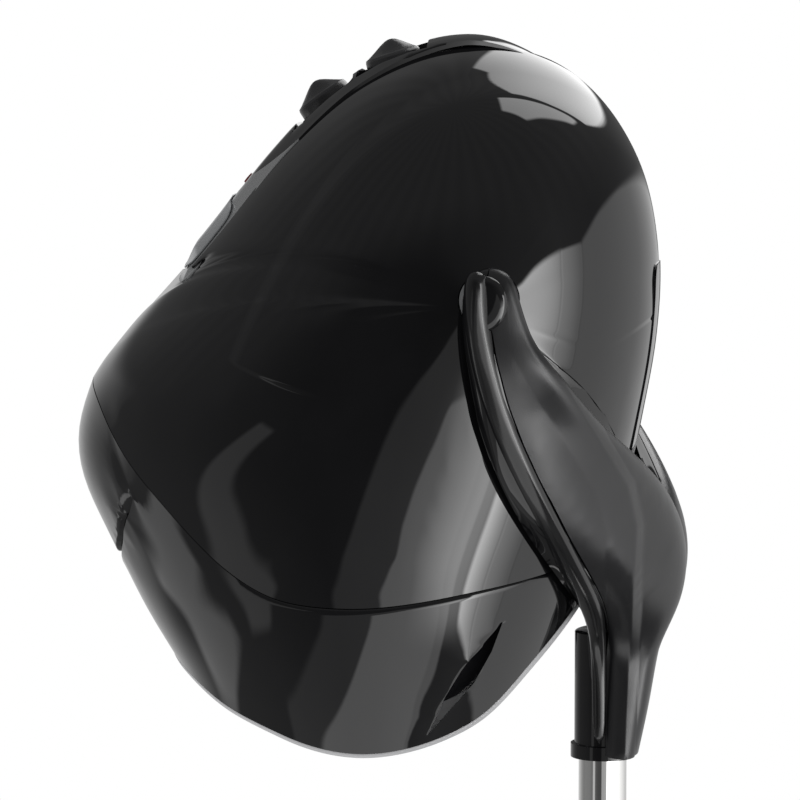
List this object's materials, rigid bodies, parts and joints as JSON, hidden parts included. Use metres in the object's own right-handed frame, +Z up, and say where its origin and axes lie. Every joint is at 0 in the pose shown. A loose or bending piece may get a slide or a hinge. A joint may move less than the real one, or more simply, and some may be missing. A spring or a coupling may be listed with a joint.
{
  "type": "hair steamer",
  "caption": "Glossy egg-shaped steam hood, open underneath, tilting on a forked yoke above a sliding mast on a castor base, with control dials along its crown.",
  "frame": {"origin": "on the floor, on the axis of the mast", "axes": "+Z up along the mast, the front of the hood towards -X"},
  "size_m": [0.6339, 0.66, 1.4821],
  "materials": {
    "gloss_black": "high gloss",
    "satin_grey": "satin, fine grain",
    "satin_black": "satin",
    "chrome": "polished",
    "black_metal": "satin powder coat",
    "silver_plate": "silver lacquer",
    "pale_rubber": "matt",
    "black_rubber": "matt",
    "grey_tyre": "matt",
    "smoke_plastic": "gloss",
    "steel": "brushed",
    "aluminium": "satin",
    "black_alloy": "powder coat",
    "brass": "drawn",
    "fibre": "matt",
    "white_plastic": "matt",
    "tank_plastic": "translucent blue-white",
    "blue_plastic": "satin",
    "green_board": "satin",
    "red_lens": "gloss",
    "lamp_glass": "clear"
  },
  "bodies": {
    "base": {"star_base": "black_alloy", "hub_cover": "satin_black", "cable_gland": "black_rubber", "lower_tube": "black_metal", "tube_bush": "satin_black", "clamp_collar": "black_metal"},
    "clamp": {"clamp_knob": "satin_black"},
    "castor_1": {"castor_fork_1": "black_metal"},
    "wheel_1": {"castor_wheel_1": "grey_tyre"},
    "castor_2": {"castor_fork_2": "black_metal"},
    "wheel_2": {"castor_wheel_2": "grey_tyre"},
    "castor_3": {"castor_fork_3": "black_metal"},
    "wheel_3": {"castor_wheel_3": "grey_tyre"},
    "castor_4": {"castor_fork_4": "black_metal"},
    "wheel_4": {"castor_wheel_4": "grey_tyre"},
    "castor_5": {"castor_fork_5": "black_metal"},
    "wheel_5": {"castor_wheel_5": "grey_tyre"},
    "mast": {"mast_tube": "chrome"},
    "yoke": {"pole_socket": "gloss_black", "yoke_frame_l": "gloss_black", "yoke_frame_r": "gloss_black", "arm_cover_l": "satin_grey", "arm_cover_r": "satin_grey", "tilt_bolt_l": "steel", "tilt_bolt_r": "steel", "friction_washer_l": "fibre", "friction_washer_r": "fibre", "pivot_cap_l": "gloss_black", "pivot_cap_r": "gloss_black"},
    "timer": {"timer_shaft": "steel", "timer_knob": "satin_black"},
    "heat": {"heat_shaft": "steel", "heat_knob": "satin_black"},
    "hood": {"pivot_boss_l": "steel", "pivot_boss_r": "steel", "cross_bar": "steel", "side_shell_l": "gloss_black", "side_shell_r": "gloss_black", "lower_skirt": "gloss_black", "rim_gasket": "pale_rubber", "inner_bowl": "smoke_plastic", "control_panel": "gloss_black", "panel_plate": "silver_plate", "indicator_lamp": "red_lens", "timer_switch": "white_plastic", "heat_switch": "white_plastic", "tank_cover": "gloss_black", "water_tank": "tank_plastic", "tank_cap": "blue_plastic", "chassis_plate": "aluminium", "boiler": "steel", "boiler_lid": "steel", "heating_element": "steel", "steam_pipe": "brass", "steam_diffuser": "aluminium", "feed_pipe": "white_plastic", "ozone_tube": "lamp_glass", "ozone_holders": "white_plastic", "control_board": "green_board", "chassis_screws": "steel"}
  },
  "joints": [
    {"name": "clamp_turn", "type": "hinge", "parent": "base", "child": "clamp", "pos_m": [0.045, 0, 0.724], "axis": [1, 0, 0], "range_deg": [0, 360]},
    {"name": "castor_1_swivel", "type": "hinge", "parent": "base", "child": "castor_1", "pos_m": [0.24271, 0.17634, 0.07], "axis": [0, 0, 1], "continuous": true},
    {"name": "wheel_1_roll", "type": "hinge", "parent": "castor_1", "child": "wheel_1", "pos_m": [0.25889, 0.18809, 0.025], "axis": [-0.5878, 0.809, 0], "continuous": true},
    {"name": "castor_2_swivel", "type": "hinge", "parent": "base", "child": "castor_2", "pos_m": [-0.09271, 0.28532, 0.07], "axis": [0, 0, 1], "continuous": true},
    {"name": "wheel_2_roll", "type": "hinge", "parent": "castor_2", "child": "wheel_2", "pos_m": [-0.09889, 0.30434, 0.025], "axis": [-0.9511, -0.309, 0], "continuous": true},
    {"name": "castor_3_swivel", "type": "hinge", "parent": "base", "child": "castor_3", "pos_m": [-0.3, 0, 0.07], "axis": [0, 0, 1], "continuous": true},
    {"name": "wheel_3_roll", "type": "hinge", "parent": "castor_3", "child": "wheel_3", "pos_m": [-0.32, 0, 0.025], "axis": [0, -1, 0], "continuous": true},
    {"name": "castor_4_swivel", "type": "hinge", "parent": "base", "child": "castor_4", "pos_m": [-0.09271, -0.28532, 0.07], "axis": [0, 0, 1], "continuous": true},
    {"name": "wheel_4_roll", "type": "hinge", "parent": "castor_4", "child": "wheel_4", "pos_m": [-0.09889, -0.30434, 0.025], "axis": [0.9511, -0.309, 0], "continuous": true},
    {"name": "castor_5_swivel", "type": "hinge", "parent": "base", "child": "castor_5", "pos_m": [0.24271, -0.17634, 0.07], "axis": [0, 0, 1], "continuous": true},
    {"name": "wheel_5_roll", "type": "hinge", "parent": "castor_5", "child": "wheel_5", "pos_m": [0.25889, -0.18809, 0.025], "axis": [0.5878, 0.809, 0], "continuous": true},
    {"name": "mast_lift", "type": "slide", "parent": "base", "child": "mast", "axis": [0, 0, 1], "range_m": [0, 0.25]},
    {"name": "yoke_swivel", "type": "hinge", "parent": "mast", "child": "yoke", "pos_m": [0, 0, 1.04], "axis": [0, 0, 1], "range_deg": [-180, 180]},
    {"name": "hood_tilt", "type": "hinge", "parent": "yoke", "child": "hood", "pos_m": [-0.065, 0, 1.315], "axis": [0, 1, 0], "range_deg": [0, 40]},
    {"name": "timer_turn", "type": "hinge", "parent": "hood", "child": "timer", "pos_m": [-0.18039, 0, 1.43468], "axis": [-0.5808, 0, 0.8141], "range_deg": [0, 300]},
    {"name": "heat_turn", "type": "hinge", "parent": "hood", "child": "heat", "pos_m": [-0.13573, 0, 1.45929], "axis": [-0.2892, 0, 0.9573], "range_deg": [0, 270]}
  ]
}
